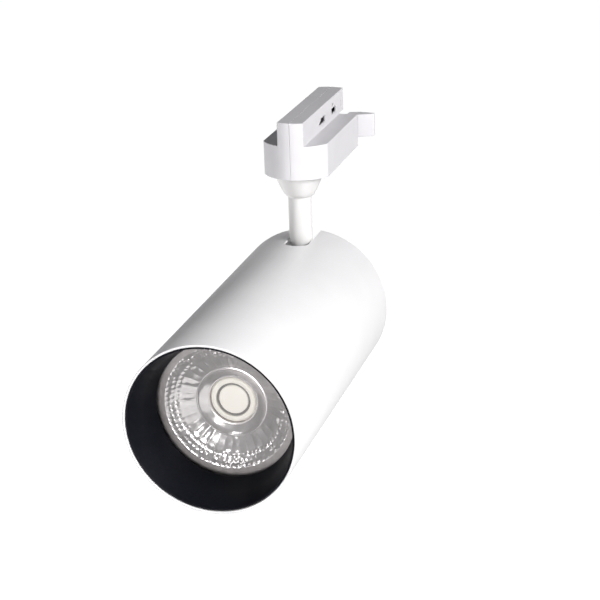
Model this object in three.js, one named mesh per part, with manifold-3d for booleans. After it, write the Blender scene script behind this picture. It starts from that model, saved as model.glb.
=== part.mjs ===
// Track spotlight: a cylindrical head that tilts on a stem, and a stem that pans under a track adapter.
// Millimetres, +Z up. The pan axis is Z, and z = 0 is the plane of the adapter's shoulders, which sit against
// the underside of the track. The track runs along Y, and the head points towards -Y at rest.
import * as THREE from 'three';
import { mergeVertices } from 'three/addons/utils/BufferGeometryUtils.js';
import Module from 'manifold-3d';

const wasm = await Module();
wasm.setup();

// ---------- driving dimensions ----------
const FIT = 0.3; // gap between pieces that sit against or inside each other
const ROUND = 80; // sides of a large round piece
const HIDDEN_ROUND = 40; // sides of a large round piece that sits inside another
const SMALL_ROUND = 20; // sides of a screw, pin or hole

const TUBE_RADIUS = 45;
const TUBE_WALL = 1.2;
const TUBE_LENGTH = 185;
const PIVOT_TO_REAR = 16.7; // tilt axis to the rear edge of the tube
const PIVOT_DROP = 102; // tilt axis below the shoulders
const SLOT_LEAD = 8.5; // centre of the slot's round end, ahead of the tilt axis

const STEM_RADIUS = 6.6;
const STEM_BORE = 4.4;
const STEM_SLOT_GAP = 0.4;
const COLLAR_RADIUS = 13.4;
const COLLAR_HEIGHT = 12.6;

const BLOCK_WIDTH = 36.9;
const BLOCK_HEIGHT = 19.1;
const BLOCK_LENGTH = 87.7; // from tip to tip of its rounded ends
const NEAR_TIP = 16.3; // pan axis to the near tip
const END_RADIUS = BLOCK_WIDTH / 2 + 2.55; // a little flatter than a half circle
const TONGUE_WIDTH = 14.8;
const TONGUE_HEIGHT = 13.2;
const CASE_WALL = 1.9;
const TONGUE_WALL = 1.5;
const SEAM = 0.3; // gap between the two half shells
const BEYOND = 200; // reaches past the whole light, for cutting

const MOUTH = -(TUBE_LENGTH - PIVOT_TO_REAR); // y of the mouth, from the tilt axis
const BORE_RADIUS = TUBE_RADIUS - TUBE_WALL;
const INNER_RADIUS = BORE_RADIUS - FIT; // what slides into the tube
const behindMouth = (depth) => MOUTH + depth;

// ---------- making solids ----------
function solid(geometry) {
  const bare = geometry.index ? geometry.toNonIndexed() : geometry;
  bare.deleteAttribute('normal');
  bare.deleteAttribute('uv');
  const merged = mergeVertices(bare, 1e-4);
  return new wasm.Manifold(new wasm.Mesh({
    numProp: 3,
    vertProperties: merged.attributes.position.array,
    triVerts: new Uint32Array(merged.index.array),
  }));
}

function geometryOf(body) {
  const mesh = body.getMesh();
  const geometry = new THREE.BufferGeometry();
  geometry.setAttribute('position', new THREE.BufferAttribute(mesh.vertProperties, 3));
  geometry.setIndex(new THREE.BufferAttribute(mesh.triVerts, 1));
  geometry.computeVertexNormals();
  return geometry;
}

const cut = (body, ...tools) => tools.reduce((left, tool) => left.subtract(tool), body);
const join = (body, ...others) => others.reduce((sum, other) => sum.add(other), body);

function box(x0, x1, y0, y1, z0, z1) {
  const geometry = new THREE.BoxGeometry(x1 - x0, y1 - y0, z1 - z0);
  return solid(geometry.translate((x0 + x1) / 2, (y0 + y1) / 2, (z0 + z1) / 2));
}

// A round bar of length `to - from` along one axis; x, y and z place its axis.
function bar(axis, radius, from, to, { x = 0, y = 0, z = 0, sides = SMALL_ROUND } = {}) {
  const geometry = new THREE.CylinderGeometry(radius, radius, to - from, sides);
  geometry.translate(0, (from + to) / 2, 0);
  if (axis === 'x') geometry.rotateZ(-Math.PI / 2);
  if (axis === 'z') geometry.rotateX(Math.PI / 2);
  return solid(geometry.translate(x, y, z));
}

// A turned piece: its profile is a closed loop of [radius, station], counter-clockwise.
function turned(axis, profile, sides = ROUND) {
  const loop = [...profile, profile[0]].map(([radius, station]) => new THREE.Vector2(radius, station));
  const geometry = new THREE.LatheGeometry(loop, sides);
  if (axis === 'x') geometry.rotateZ(-Math.PI / 2);
  if (axis === 'z') geometry.rotateX(Math.PI / 2);
  return solid(geometry);
}

const ring = (axis, outer, inner, from, to, sides = ROUND) =>
  turned(axis, [[inner, from], [outer, from], [outer, to], [inner, to]], sides);

// A flat outline in the XY plane, raised from z0 to z1.
function prismZ(outline, z0, z1, curveSegments = 16) {
  const shape = outline instanceof THREE.Shape
    ? outline
    : new THREE.Shape(outline.map(([x, y]) => new THREE.Vector2(x, y)));
  const geometry = new THREE.ExtrudeGeometry(shape, { depth: z1 - z0, bevelEnabled: false, curveSegments });
  return solid(geometry.translate(0, 0, z0));
}

// An outline of [y, z] points, drawn out from x0 to x1.
function prismX(outline, x0, x1, curveSegments = 16) {
  const shape = outline instanceof THREE.Shape
    ? outline
    : new THREE.Shape(outline.map(([y, z]) => new THREE.Vector2(y, z)));
  const geometry = new THREE.ExtrudeGeometry(shape, { depth: x1 - x0, bevelEnabled: false, curveSegments });
  geometry.applyMatrix4(new THREE.Matrix4().makeBasis(
    new THREE.Vector3(0, 1, 0), new THREE.Vector3(0, 0, 1), new THREE.Vector3(1, 0, 0),
  ));
  return solid(geometry.translate(x0, 0, 0));
}

function wire(points, radius) {
  const path = new THREE.CatmullRomCurve3(points.map((p) => new THREE.Vector3(...p)));
  const section = new THREE.Shape().absarc(0, 0, radius, 0, Math.PI * 2);
  const geometry = new THREE.ExtrudeGeometry(section, { steps: 10, extrudePath: path, curveSegments: 4 });
  return solid(geometry);
}

// ---------- materials ----------
const material = (color, roughness, metalness = 0) =>
  () => new THREE.MeshStandardMaterial({ color, roughness, metalness });
const whitePaint = material(0xf1efee, 0.45);
const whitePlastic = material(0xeeebea, 0.5);
const blackPlastic = material(0x1c1c20, 0.55);
const greyPlastic = material(0x55565a, 0.6);
const brightMetal = material(0xd8d8da, 0.15, 1);
const steel = material(0x9b9b9e, 0.35, 1);
const castAluminium = material(0xa9abad, 0.45, 0.9);
const copper = material(0xb87445, 0.3, 1);
const creamPlastic = material(0xf2ead8, 0.5);
const phosphor = material(0xfbf4e2, 0.6);
const ceramic = material(0xe8e6df, 0.6);
const clearGlass = material(0xe8eef0, 0.05);
const redCover = material(0x9c2f28, 0.5);
const greyRubber = material(0x77787a, 0.8);
const brownSheath = material(0x6e4327, 0.5);
const blueSheath = material(0x2b56a3, 0.5);
const redSheath = material(0xa8221c, 0.5);

const part = new THREE.Group();
const head = new THREE.Group();
head.position.z = -PIVOT_DROP;
part.add(head);

function piece(name, body, makeMaterial, parent = part) {
  const mesh = new THREE.Mesh(geometryOf(body), makeMaterial());
  mesh.name = name;
  parent.add(mesh);
}

// ---------- adapter case: two half shells ----------
const FAR_TIP = BLOCK_LENGTH - NEAR_TIP;
const LEVER_AXIS = FAR_TIP - 18.8; // y of the lever's shaft
const SHAFT_RADIUS = 3;
const LEVER_DISC = BLOCK_WIDTH / 2 - CASE_WALL - 0.6; // radius of the lever's body
const ROTOR_BOSS = SHAFT_RADIUS + 1.2;
const CONTACT_AXIS = LEVER_AXIS - LEVER_DISC - ROTOR_BOSS - 2.95; // y of the contact rotor's shaft
const SHAFT_HOLE = SHAFT_RADIUS + FIT;
const BAY_START = LEVER_AXIS + 8.1; // the lever's bay is open from here to the far tip
const CASE_FLOOR = -BLOCK_HEIGHT + CASE_WALL; // top face of the case's floor
const LEVER_BOTTOM = CASE_FLOOR + 3.5;
const BAY_FLOOR = LEVER_BOTTOM - 0.4;
const TONGUE_FLOOR = 0.6;
const TONGUE_ROOF = TONGUE_HEIGHT - CASE_WALL + 0.3;
const BUSH_RADIUS = STEM_RADIUS + 1.4;
const SCREW_RADIUS = 1.2;
const SCREW_HEAD = 2.2;
const SCREW_HEAD_DEPTH = 1;
const SCREW_BOSS = SCREW_HEAD + 0.5;
const SCREW_SINK = 0.2; // screw head below the surface it is sunk in
const CLAW_REACH = TONGUE_WIDTH / 2 + 1.8;
const WINDOW_BOTTOM = 3.1; // windows that the claw and the blades turn out through
const WINDOW_TOP = 6.6;
const SWEEP_GAP = 0.3; // above and below the claw and the blades in their windows
const TONGUE_CAVITY_HALF = TONGUE_WIDTH / 2 - TONGUE_WALL;

// The block seen from above, drawn in by `inset` all round.
function blockPlan(inset) {
  const half = BLOCK_WIDTH / 2 - inset;
  const radius = END_RADIUS - inset;
  const lean = Math.acos(half / radius);
  const near = -NEAR_TIP + END_RADIUS;
  const far = FAR_TIP - END_RADIUS;
  const shape = new THREE.Shape();
  shape.moveTo(half, near - radius * Math.sin(lean));
  shape.lineTo(half, far + radius * Math.sin(lean));
  shape.absarc(0, far, radius, lean, Math.PI - lean, false);
  shape.lineTo(-half, near - radius * Math.sin(lean));
  shape.absarc(0, near, radius, Math.PI + lean, 2 * Math.PI - lean, false);
  return shape;
}

// Screws that hold the two shells together, each along X, with its head on the -X side.
const SHELL_SCREWS = [
  { name: 'shell_screw_near', y: -9.5, z: 5, half: TONGUE_WIDTH / 2 },
  { name: 'shell_screw_middle', y: (CONTACT_AXIS + LEVER_AXIS) / 2 - 0.85, z: 9.4, half: TONGUE_WIDTH / 2 },
  { name: 'shell_screw_far', y: LEVER_AXIS + 12.6, z: 5, half: TONGUE_WIDTH / 2 },
  { name: 'shell_screw_block', y: 14.5, z: -8, half: BLOCK_WIDTH / 2 },
];

// Windows in the tongue's two sides; a claw or blade that turns a quarter turn passes through them.
function sweepWindow(axisY) {
  const lead = 8;
  const trail = 2.4;
  const side = TONGUE_WIDTH / 2 + 1;
  return [
    box(TONGUE_CAVITY_HALF - 0.5, side, axisY - lead, axisY + trail, WINDOW_BOTTOM, WINDOW_TOP),
    box(-side, -TONGUE_CAVITY_HALF + 0.5, axisY - trail, axisY + lead, WINDOW_BOTTOM, WINDOW_TOP),
  ];
}

// A thin slot in one of the tongue's sides.
function clipSlot(side, y, z0, z1) {
  const face = side * TONGUE_WIDTH / 2;
  const bottom = face - side * 0.9;
  return box(Math.min(face, bottom), Math.max(face, bottom), y - 0.5, y + 0.5, z0, z1);
}

function adapterCase() {
  const tongueSide = TONGUE_WIDTH / 2;
  const besideTongue = (side) => box(
    side < 0 ? -BEYOND : tongueSide, side < 0 ? -tongueSide : BEYOND, -BEYOND, BEYOND, 0, TONGUE_HEIGHT + 1,
  );
  const outside = cut(prismZ(blockPlan(0), -BLOCK_HEIGHT, TONGUE_HEIGHT), besideTongue(-1), besideTongue(1));
  const blockHollow = cut(
    prismZ(blockPlan(CASE_WALL), CASE_FLOOR, -CASE_WALL),
    ...SHELL_SCREWS.slice(3).map(({ y, z, half }) => bar('x', SCREW_BOSS, -half, half, { y, z })),
  );
  const tongueHollow = cut(
    prismZ(blockPlan(CASE_WALL), TONGUE_FLOOR, TONGUE_ROOF)
      .intersect(box(-TONGUE_CAVITY_HALF, TONGUE_CAVITY_HALF, -BEYOND, BEYOND, 0, TONGUE_HEIGHT)),
    box(-tongueSide, tongueSide, BAY_START - 2, FAR_TIP, 0, 1.3),
    ...SHELL_SCREWS.slice(0, 3).map(({ y, z, half }) => bar('x', SCREW_BOSS, -half, half, { y, z })),
  );
  const bay = box(-BEYOND, BEYOND, BAY_START, BEYOND, BAY_FLOOR, 0);
  const arrow = prismX([
    [CONTACT_AXIS - 12.6, 3.7], [CONTACT_AXIS - 7.9, WINDOW_BOTTOM], [CONTACT_AXIS - 7.9, 5.6],
  ], TONGUE_CAVITY_HALF - 0.5, tongueSide + 1);
  return cut(
    outside,
    blockHollow,
    tongueHollow,
    bay,
    ...sweepWindow(CONTACT_AXIS),
    ...sweepWindow(LEVER_AXIS),
    arrow,
    box(TONGUE_CAVITY_HALF - 0.5, tongueSide + 1, LEVER_AXIS - 6.8, LEVER_AXIS - 3, 7.6, 9.4),
    ...[-1, 1].flatMap((side) => [
      clipSlot(side, -NEAR_TIP + 3, 5.4, 10.4), clipSlot(side, FAR_TIP - 6.4, 2.2, 7),
    ]),
    bar('z', SHAFT_HOLE, -5, 2, { y: LEVER_AXIS }),
    bar('z', SHAFT_HOLE, -5, 2, { y: CONTACT_AXIS }),
    bar('z', STEM_BORE, -5, 2),
    bar('z', BUSH_RADIUS + FIT, -BLOCK_HEIGHT - 1, CASE_FLOOR + 1, { sides: 48 }),
    ...SHELL_SCREWS.flatMap(({ y, z, half }) => [
      bar('x', SCREW_RADIUS + FIT, -half - 1, half - 1.2, { y, z }),
      bar('x', SCREW_HEAD + SCREW_SINK, -half - 1, -half + SCREW_SINK + SCREW_HEAD_DEPTH + 0.1, { y, z }),
    ]),
  );
}

const caseSolid = adapterCase();
const shellHalf = (x0, x1) => caseSolid.intersect(box(x0, x1, -BEYOND, BEYOND, -BEYOND, BEYOND));
piece('shell_left', shellHalf(-BEYOND, -SEAM / 2), whitePlastic);
piece('shell_right', shellHalf(SEAM / 2, BEYOND), whitePlastic);

for (const { name, y, z, half } of SHELL_SCREWS) {
  const headFace = -half + SCREW_SINK;
  const screw = join(
    bar('x', SCREW_HEAD, headFace, headFace + SCREW_HEAD_DEPTH, { y, z }),
    bar('x', SCREW_RADIUS, headFace + 0.5, half - 1.6, { y, z }),
  );
  const crossSlot = (tall, wide) =>
    box(headFace - 1, headFace + 0.6, y - wide / 2, y + wide / 2, z - tall / 2, z + tall / 2);
  piece(name, cut(screw, crossSlot(2.4, 0.5), crossSlot(0.5, 2.4)), steel);
}

// ---------- terminal block, over the stem's bore ----------
const TERMINAL_HALF = TONGUE_CAVITY_HALF - 1.1;
const TERMINAL_TOP = 7.6;
const TERMINAL_HOLE = 1.5;
const terminalHoles = [-1, 1].flatMap((side) => [-1.5, 8].map((y) =>
  bar('z', TERMINAL_HOLE, TERMINAL_TOP - 3, TERMINAL_TOP + 1, { x: side * TERMINAL_HALF * 0.48, y })));
piece('terminal_block', cut(
  box(-TERMINAL_HALF, TERMINAL_HALF, -5.6, 13, TONGUE_FLOOR + 0.2, TERMINAL_TOP),
  ...terminalHoles,
), creamPlastic);

// ---------- lock lever, its claw and the link to the contact rotor ----------
const CRANK = 8; // crank radius of the lever and of the contact rotor
const CRANK_PIN = 1.5;
const TAB_REACH = 8.95; // how far the finger tab stands out from the block's side
const LINK_TOP = LEVER_BOTTOM - 0.8;
const LINK_BOTTOM = LINK_TOP - 2;
const PIN_BOTTOM = LINK_BOTTOM - 0.3;

function leverPiece() {
  const tabRoot = LEVER_AXIS + 8.3;
  const side = BLOCK_WIDTH / 2;
  const tab = prismZ([
    [side - 6.65, tabRoot], [side + 0.55, tabRoot], [side + TAB_REACH, tabRoot + 3.6],
    [side + TAB_REACH, tabRoot + 5.6], [side - 0.05, tabRoot + 7], [side - 6.65, tabRoot + 5.6],
  ], LEVER_BOTTOM, -FIT);
  return join(
    bar('z', LEVER_DISC, LEVER_BOTTOM, -CASE_WALL - FIT, { y: LEVER_AXIS, sides: 64 }),
    tab,
    bar('z', SHAFT_RADIUS, LEVER_BOTTOM, 9.5, { y: LEVER_AXIS }),
    bar('z', CRANK_PIN, PIN_BOTTOM, LEVER_BOTTOM + 1, { x: -CRANK, y: LEVER_AXIS }),
  );
}
piece('lock_lever', leverPiece(), whitePlastic);

function clawPiece() {
  const thick = 1.6;
  return cut(
    join(
      bar('z', TONGUE_CAVITY_HALF - 1, 1.6, 7.2, { y: LEVER_AXIS }),
      box(-thick, thick, LEVER_AXIS - CLAW_REACH, LEVER_AXIS + CLAW_REACH,
        WINDOW_BOTTOM + SWEEP_GAP, WINDOW_TOP - SWEEP_GAP),
    ),
    bar('z', SHAFT_RADIUS + 0.15, 0, 8, { y: LEVER_AXIS }),
  );
}
piece('locking_claw', clawPiece(), steel);

function linkPiece() {
  const half = 2.6;
  const span = prismZ([
    [-CRANK - half, CONTACT_AXIS], [-CRANK + half, CONTACT_AXIS],
    [-CRANK + half, LEVER_AXIS], [-CRANK - half, LEVER_AXIS],
  ], LINK_BOTTOM, LINK_TOP);
  const ends = [CONTACT_AXIS, LEVER_AXIS];
  return cut(
    join(span, ...ends.map((y) => bar('z', half, LINK_BOTTOM, LINK_TOP, { x: -CRANK, y }))),
    ...ends.map((y) => bar('z', CRANK_PIN + 0.25, LINK_BOTTOM - 1, LINK_TOP + 1, { x: -CRANK, y })),
  );
}
piece('link_bar', linkPiece(), greyPlastic);

// ---------- contact rotor with its two blades ----------
const ROTOR_HUB = 3.6;
function rotorPiece() {
  const arm = 2.8;
  return join(
    bar('z', SHAFT_RADIUS, LEVER_BOTTOM, 10.4, { y: CONTACT_AXIS }),
    bar('z', ROTOR_HUB, 1.2, 6.5, { y: CONTACT_AXIS }),
    box(-CRANK, 0, CONTACT_AXIS - arm, CONTACT_AXIS + arm, LEVER_BOTTOM, LEVER_BOTTOM + 1.8),
    bar('z', arm, LEVER_BOTTOM, LEVER_BOTTOM + 1.8, { x: -CRANK, y: CONTACT_AXIS }),
    bar('z', ROTOR_BOSS, LEVER_BOTTOM, -CASE_WALL - FIT, { y: CONTACT_AXIS }),
    bar('z', CRANK_PIN, PIN_BOTTOM, LEVER_BOTTOM + 1, { x: -CRANK, y: CONTACT_AXIS }),
  );
}
piece('contact_rotor', rotorPiece(), greyPlastic);

// Each blade stands on the hub and reaches towards `direction` along the track while it is drawn in.
function bladePiece(direction) {
  const root = ROTOR_HUB + 0.15;
  const outline = [[-1.1, root], [1.1, root], [1.1, 7.6], [0.5, CLAW_REACH], [-0.5, CLAW_REACH], [-1.1, 7.6]];
  const blade = prismZ(outline, WINDOW_BOTTOM + SWEEP_GAP, WINDOW_TOP - SWEEP_GAP);
  return blade.rotate([0, 0, direction < 0 ? 180 : 0]).translate([0, CONTACT_AXIS, 0]);
}
piece('contact_live', bladePiece(-1), copper);
piece('contact_neutral', bladePiece(1), copper);

// ---------- swivel: bush in the case, stem, collar, washer and nut ----------
const BUSH_TOP = CASE_FLOOR + FIT + 1;
const WASHER_TOP = BUSH_TOP + 0.8;
const NUT_TOP = WASHER_TOP + 3.7;
const COLLAR_TOP = -BLOCK_HEIGHT - FIT;
const COLLAR_BOTTOM = COLLAR_TOP - COLLAR_HEIGHT;
const STEM_RUNNING = STEM_RADIUS + 0.25; // bore that the stem turns in
const STEM_PRESS = STEM_RADIUS + 0.15; // bore of what is fixed to the stem

piece('pan_bush', turned('z', [
  [STEM_RUNNING, -BLOCK_HEIGHT + 0.1], [BUSH_RADIUS, -BLOCK_HEIGHT + 0.1], [BUSH_RADIUS, CASE_FLOOR + 0.15],
  [BUSH_RADIUS + 3, CASE_FLOOR + 0.15], [BUSH_RADIUS + 3, BUSH_TOP], [STEM_RUNNING, BUSH_TOP],
], HIDDEN_ROUND), greyPlastic);
const washer = ring('z', BUSH_RADIUS + 2.4, STEM_PRESS, BUSH_TOP + 0.1, WASHER_TOP, HIDDEN_ROUND);
piece('pan_washer', washer, steel);
piece('pan_nut', cut(
  bar('z', STEM_RADIUS + 3.6, WASHER_TOP + 0.1, NUT_TOP, { sides: 6 }),
  bar('z', STEM_PRESS, -BLOCK_HEIGHT, 0, { sides: 48 }),
), steel);

function collarPiece() {
  const shoulder = 1; // straight lip under the block
  const foot = STEM_RADIUS + 0.5;
  const outer = [];
  const steps = 8;
  for (let i = 0; i <= steps; i += 1) {
    const rise = (i / steps) ** 1.6; // share of the flared height, with closer steps at the foot
    outer.push([
      foot + (COLLAR_RADIUS - foot) * rise ** 0.62,
      COLLAR_BOTTOM + (COLLAR_HEIGHT - shoulder) * rise,
    ]);
  }
  return turned('z', [
    [STEM_PRESS, COLLAR_BOTTOM], ...outer, [COLLAR_RADIUS, COLLAR_TOP], [STEM_PRESS, COLLAR_TOP],
  ], 48);
}
piece('swivel_collar', collarPiece(), whitePaint);

const KNUCKLE_RADIUS = 8.5;
const KNUCKLE_HALF = STEM_RADIUS + 0.5;
const BOLT_RADIUS = 2.45;
const WIRE_EXIT = 16; // height of the stem's wire exit above the tilt axis

function stemPiece() {
  const top = NUT_TOP + 0.9;
  return cut(
    join(
      bar('z', STEM_RADIUS, -PIVOT_DROP, top, { sides: 64 }),
      bar('x', KNUCKLE_RADIUS, -KNUCKLE_HALF, KNUCKLE_HALF, { z: -PIVOT_DROP, sides: 48 }),
    ),
    bar('z', STEM_BORE, -PIVOT_DROP + KNUCKLE_RADIUS + 1.5, top + 1, { sides: 40 }),
    bar('x', BOLT_RADIUS + 0.15, -KNUCKLE_HALF - 1, KNUCKLE_HALF + 1, { z: -PIVOT_DROP }),
    bar('y', 3.4, -STEM_RADIUS - 2, 0, { z: -PIVOT_DROP + WIRE_EXIT }),
  );
}
piece('stem', stemPiece(), whitePaint);

const LEAD_RADIUS = 1.05;
for (const [name, x, makeMaterial] of [['lead_live', 1.3, brownSheath], ['lead_neutral', -1.3, blueSheath]]) {
  const exit = -PIVOT_DROP + WIRE_EXIT;
  piece(name, wire([
    [x, -STEM_RADIUS - 2, exit], [x, -STEM_RADIUS + 1.4, exit], [x, -2.6, exit + 1], [x, -0.8, exit + 4.5],
    [x, 0, exit + 14], [x, 0, exit + 40], [x, 0, TONGUE_FLOOR - 0.4],
  ], LEAD_RADIUS), makeMaterial);
}

// ---------- head: tube ----------
const SLOT_HALF = STEM_RADIUS + STEM_SLOT_GAP;
const GRUB_RADIUS = 1.8;
const GRUB_STATION = -14.5;
const GRUB_ANGLES = { tube_screw_left: 205, tube_screw_right: 155 }; // from the top, clockwise from the front

function radialBar(radius, from, to, angle, y) {
  return bar('z', radius, from, to).rotate([0, angle, 0]).translate([0, y, 0]);
}

function tubePiece() {
  const slot = join(
    box(-SLOT_HALF, SLOT_HALF, -SLOT_LEAD, PIVOT_TO_REAR + 1, 0, TUBE_RADIUS + 1),
    bar('z', SLOT_HALF, 0, TUBE_RADIUS + 1, { y: -SLOT_LEAD, sides: 40 }),
  );
  return cut(
    ring('y', TUBE_RADIUS, BORE_RADIUS, MOUTH, PIVOT_TO_REAR),
    slot,
    ...Object.values(GRUB_ANGLES).map((angle) =>
      radialBar(GRUB_RADIUS + FIT, BORE_RADIUS - 3, TUBE_RADIUS + 1, angle, GRUB_STATION)),
  );
}
piece('housing_tube', tubePiece(), whitePaint, head);

// ---------- head: baffle, cover glass and reflector ----------
const BAFFLE_DEPTH = 26.2;
const BAFFLE_EXIT = INNER_RADIUS - 6.8; // radius of the cone's inner edge
const BAFFLE_LIP = 0.5; // the baffle's front edge behind the tube's rim
piece('baffle', turned('y', [
  [INNER_RADIUS - 0.9, behindMouth(BAFFLE_LIP)], [INNER_RADIUS, behindMouth(BAFFLE_LIP)],
  [INNER_RADIUS, behindMouth(BAFFLE_DEPTH)], [BAFFLE_EXIT, behindMouth(BAFFLE_DEPTH)],
  [BAFFLE_EXIT, behindMouth(BAFFLE_DEPTH - 1.2)],
]), blackPlastic, head);

const GLASS_FRONT = BAFFLE_DEPTH + FIT;
const GLASS_THICKNESS = 2;
piece('cover_glass', bar('y', INNER_RADIUS - 0.3, behindMouth(GLASS_FRONT),
  behindMouth(GLASS_FRONT + GLASS_THICKNESS), { sides: ROUND }), clearGlass, head);

const REFLECTOR_FRONT = GLASS_FRONT + GLASS_THICKNESS + FIT;
const REFLECTOR_WALL = 1.4;
const REFLECTOR_RIM = BAFFLE_EXIT - 3.4;
const REFLECTOR_FOOT = 13.4;
// Share of the way from the foot's radius to the rim's, and depth behind the front.
const REFLECTOR_BOWL = [[1, 0], [0.834, 2.2], [0.533, 5.1], [0.231, 7.6], [0, 9.6]];
const REFLECTOR_NECK = 12.4;
const REFLECTOR_DEPTH = 11.6;
function reflectorPiece() {
  const station = (depth) => behindMouth(REFLECTOR_FRONT + depth);
  const radiusAt = (share) => REFLECTOR_FOOT + share * (REFLECTOR_RIM - REFLECTOR_FOOT);
  const bowl = REFLECTOR_BOWL.map(([share, depth]) => [radiusAt(share), station(depth)]);
  const back = bowl.slice(1).map(([radius, y]) => [radius + 0.9, y + REFLECTOR_WALL]);
  const flange = INNER_RADIUS - 0.6;
  return turned('y', [
    [REFLECTOR_NECK, station(REFLECTOR_DEPTH - 1.2)], ...bowl.toReversed(),
    [flange, station(0)], [flange, station(REFLECTOR_WALL)], [REFLECTOR_RIM + 0.7, station(REFLECTOR_WALL)],
    ...back, [REFLECTOR_FOOT + 0.2, station(REFLECTOR_DEPTH)], [REFLECTOR_NECK, station(REFLECTOR_DEPTH)],
  ], 48);
}
piece('reflector', reflectorPiece(), brightMetal, head);

// ---------- head: LED and its holder ----------
const LED_RADIUS = 7.9;
const HOLDER_BORE = 9;
const HOLDER_FRONT = 38.9;
const BOARD_FRONT = 41;
const BOARD_THICKNESS = 1;
const BOARD_HALF = 9.5;
const HOLDER_RADIUS = 21;
const HOLDER_BACK = BOARD_FRONT + BOARD_THICKNESS + 0.2;
const PAD_THICKNESS = 0.4;
const SINK_FRONT = HOLDER_BACK + 0.1 + PAD_THICKNESS + 0.1;
const HOLDER_SCREWS = { holder_screw_left: -17.8, holder_screw_right: 17.8 }; // x of each

const LED_FRONT = 39.6;
const ledBack = BOARD_FRONT - 0.05;
piece('led_disc', bar('y', LED_RADIUS, behindMouth(LED_FRONT), behindMouth(ledBack), { sides: 48 }),
  phosphor, head);

piece('led_board', box(
  -BOARD_HALF, BOARD_HALF, behindMouth(BOARD_FRONT), behindMouth(BOARD_FRONT + BOARD_THICKNESS),
  -BOARD_HALF, BOARD_HALF,
), ceramic, head);

function holderPiece() {
  const pocket = BOARD_HALF + FIT;
  const shoulder = BOARD_FRONT - 0.1;
  const body = turned('y', [
    [HOLDER_BORE, behindMouth(HOLDER_FRONT)], [11.6, behindMouth(HOLDER_FRONT)],
    [11.9, behindMouth(HOLDER_FRONT + 0.4)], [11.9, behindMouth(shoulder)],
    [HOLDER_RADIUS, behindMouth(shoulder)], [HOLDER_RADIUS, behindMouth(HOLDER_BACK)],
    [HOLDER_BORE, behindMouth(HOLDER_BACK)],
  ], 48);
  return cut(
    body,
    box(-pocket, pocket, behindMouth(BOARD_FRONT - 0.2), behindMouth(HOLDER_BACK + 1), -pocket, pocket),
    ...Object.values(HOLDER_SCREWS).map((x) =>
      bar('y', SCREW_RADIUS + FIT, behindMouth(HOLDER_FRONT), behindMouth(HOLDER_BACK + 1), { x })),
  );
}
piece('led_holder', holderPiece(), creamPlastic, head);

const padHalf = BOARD_HALF + 1;
piece('thermal_pad', box(-padHalf, padHalf, behindMouth(HOLDER_BACK + 0.1),
  behindMouth(HOLDER_BACK + 0.1 + PAD_THICKNESS), -padHalf, padHalf), greyRubber, head);

// ---------- head: heat sink ----------
const DRIVER_LENGTH = 43.5;
const DRIVER_BACK = -22; // y, from the tilt axis
const DRIVER_FRONT = DRIVER_BACK - DRIVER_LENGTH;
const SINK_TO_DRIVER = 5;
const SINK_BASE = 5.4;
const SINK_CORE = 14;
const FIN_COUNT = 24;
const FIN_WIDTH = 2;
const CHANNEL_HALF = 4; // wire channel through the fins
const LEAD_HEIGHT = 19;

function finStar(from, to) {
  const outline = [];
  for (let i = 0; i < FIN_COUNT; i += 1) {
    const middle = ((i + 0.5) / FIN_COUNT) * Math.PI * 2;
    const inner = Math.asin(FIN_WIDTH / 2 / SINK_CORE);
    const outer = Math.asin(FIN_WIDTH / 2 / INNER_RADIUS);
    for (const [radius, angle] of [
      [SINK_CORE, middle - inner], [INNER_RADIUS, middle - outer],
      [INNER_RADIUS, middle + outer], [SINK_CORE, middle + inner],
    ]) outline.push([radius * Math.cos(angle), radius * Math.sin(angle)]);
  }
  return prismZ(outline, from, to).rotate([-90, 0, 0]);
}

function sinkPiece() {
  const front = behindMouth(SINK_FRONT);
  const rear = DRIVER_FRONT - SINK_TO_DRIVER;
  const fins = cut(
    finStar(front + SINK_BASE - 0.5, rear),
    box(-CHANNEL_HALF, CHANNEL_HALF, front, rear + 1, SINK_CORE + 1, TUBE_RADIUS),
  );
  return cut(
    join(bar('y', INNER_RADIUS, front, front + SINK_BASE, { sides: HIDDEN_ROUND }), fins),
    bar('y', 3.6, front - 1, front + SINK_BASE + 1, { z: LEAD_HEIGHT }),
    ...Object.values(HOLDER_SCREWS).map((x) => bar('y', SCREW_RADIUS + FIT, front - 1, front + 4.4, { x })),
  );
}
piece('heat_sink', sinkPiece(), castAluminium, head);

for (const [name, x] of Object.entries(HOLDER_SCREWS)) {
  const seat = behindMouth(BOARD_FRONT - 0.1);
  piece(name, join(
    bar('y', SCREW_HEAD, seat - 1, seat - 0.1, { x }),
    bar('y', SCREW_RADIUS, seat - 0.5, behindMouth(SINK_FRONT + 3.9), { x }),
  ), steel, head);
}

// ---------- head: driver ----------
const DRIVER_HALF = 25;
const DRIVER_BOTTOM = -18;
const DRIVER_TOP = 16;
const DRIVER_WALL = 1.8;

piece('driver_case', cut(
  box(-DRIVER_HALF, DRIVER_HALF, DRIVER_FRONT, DRIVER_BACK, DRIVER_BOTTOM, DRIVER_TOP),
  box(-DRIVER_HALF + DRIVER_WALL, DRIVER_HALF - DRIVER_WALL, DRIVER_FRONT + DRIVER_WALL,
    DRIVER_BACK - DRIVER_WALL, DRIVER_BOTTOM + DRIVER_WALL, DRIVER_TOP + 1),
), blackPlastic, head);
piece('driver_lid', join(
  box(-DRIVER_HALF, DRIVER_HALF, DRIVER_FRONT, DRIVER_BACK, DRIVER_TOP + 0.1, DRIVER_TOP + 1.9),
  box(-DRIVER_HALF + DRIVER_WALL + FIT, DRIVER_HALF - DRIVER_WALL - FIT, DRIVER_FRONT + DRIVER_WALL + FIT,
    DRIVER_BACK - DRIVER_WALL - FIT, DRIVER_TOP - 1.5, DRIVER_TOP + 0.5),
), blackPlastic, head);
const BOARD_Z = DRIVER_BOTTOM + 5;
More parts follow.
